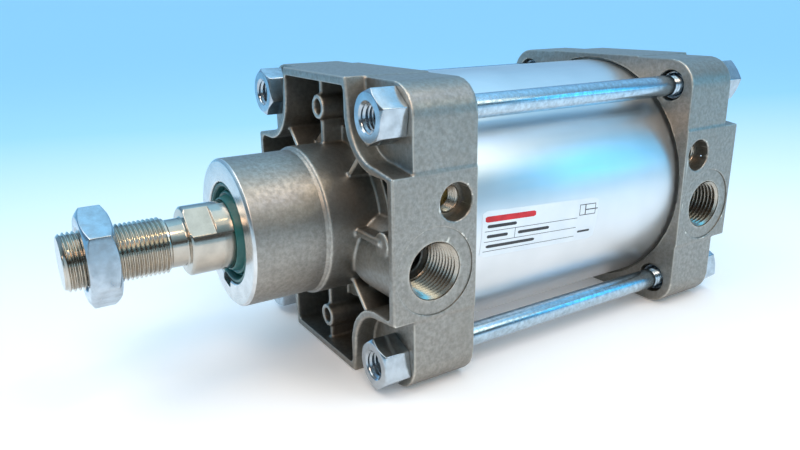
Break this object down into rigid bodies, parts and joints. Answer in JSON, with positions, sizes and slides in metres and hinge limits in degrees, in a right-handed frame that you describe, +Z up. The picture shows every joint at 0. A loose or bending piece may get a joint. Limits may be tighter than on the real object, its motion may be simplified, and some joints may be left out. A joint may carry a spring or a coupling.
{
  "type": "pneumatic cylinder",
  "caption": "Tie-rod pneumatic cylinder: bare round barrel between square die-cast heads, threaded rod end with lock nut, side ports and cushion screws.",
  "frame": {"origin": "on the cylinder's axis, in the plane of the front tie-rod nuts' faces, which is the front mounting face", "axes": "-Y the way the rod comes out, +X the side with the air ports, +Z up; the heads rest on the floor at z = -0.056"},
  "size_m": [0.112, 0.283, 0.112],
  "materials": {
    "cast_aluminium": "die-cast, tumbled satin",
    "anodised_aluminium": "clear anodised satin",
    "machined_aluminium": "turned",
    "zinc_plated_steel": "bright zinc plated",
    "tie_rod_steel": "bright drawn, zinc plated",
    "chromed_rod_steel": "ground and polished",
    "wiper_polyurethane": "smooth moulded",
    "seal_rubber": "smooth moulded",
    "bearing_bronze": "sintered",
    "screw_brass": "turned",
    "wear_ring_plastic": "matt",
    "magnet_plastic": "matt",
    "label_film": "silver polyester film"
  },
  "bodies": {
    "cylinder_body": {"front_head": "cast_aluminium", "rear_head": "cast_aluminium", "barrel": "anodised_aluminium", "tie_rods": "tie_rod_steel", "front_tie_rod_nuts": "zinc_plated_steel", "rear_tie_rod_nuts": "zinc_plated_steel", "rod_wiper_seal": "wiper_polyurethane", "rod_bearing_bush": "bearing_bronze", "front_cushion_seal": "seal_rubber", "rear_cushion_seal": "seal_rubber", "front_barrel_o_ring": "seal_rubber", "rear_barrel_o_ring": "seal_rubber", "rating_label": "label_film"},
    "piston_guides": {"piston_front_seal": "seal_rubber", "piston_rear_seal": "seal_rubber", "piston_wear_ring": "wear_ring_plastic"},
    "rod_and_piston": {"piston_rod": "chromed_rod_steel", "piston_front_half": "machined_aluminium", "piston_rear_half": "machined_aluminium", "magnet_ring": "magnet_plastic", "piston_o_ring": "seal_rubber", "front_cushion_sleeve": "machined_aluminium", "rear_cushion_sleeve": "machined_aluminium", "piston_nut": "zinc_plated_steel"},
    "lock_nut": {"rod_lock_nut": "zinc_plated_steel"},
    "front_screw_o_ring": {"front_cushion_screw_o_ring": "seal_rubber"},
    "front_cushion_screw": {"front_cushion_screw": "screw_brass"},
    "rear_screw_o_ring": {"rear_cushion_screw_o_ring": "seal_rubber"},
    "rear_cushion_screw": {"rear_cushion_screw": "screw_brass"}
  },
  "joints": [
    {"name": "piston_stroke", "type": "slide", "parent": "cylinder_body", "child": "piston_guides", "axis": [0, -1, 0], "range_m": [0, 0.05]},
    {"name": "rod_turn", "type": "hinge", "parent": "piston_guides", "child": "rod_and_piston", "pos_m": [0, 0.119, 0], "axis": [0, -1, 0], "continuous": true},
    {"name": "lock_nut_travel", "type": "slide", "parent": "rod_and_piston", "child": "lock_nut", "axis": [0, -1, 0], "range_m": [-0.0165, 0.0065]},
    {"name": "front_cushion_screw_travel", "type": "slide", "parent": "cylinder_body", "child": "front_screw_o_ring", "axis": [1, 0, 0], "range_m": [0, 0.003]},
    {"name": "front_cushion_screw_turn", "type": "hinge", "parent": "front_screw_o_ring", "child": "front_cushion_screw", "pos_m": [0.0445, 0.028, 0.0146], "axis": [1, 0, 0], "range_deg": [0, 1080]},
    {"name": "rear_cushion_screw_travel", "type": "slide", "parent": "cylinder_body", "child": "rear_screw_o_ring", "axis": [1, 0, 0], "range_m": [0, 0.003]},
    {"name": "rear_cushion_screw_turn", "type": "hinge", "parent": "rear_screw_o_ring", "child": "rear_cushion_screw", "pos_m": [0.0445, 0.16, 0.0146], "axis": [1, 0, 0], "range_deg": [0, 1080]}
  ],
  "couplings": [
    {"joint": "front_cushion_screw_turn", "follows": "front_cushion_screw_travel", "rad_per_m": 6283.2},
    {"joint": "rear_cushion_screw_turn", "follows": "rear_cushion_screw_travel", "rad_per_m": 6283.2}
  ]
}
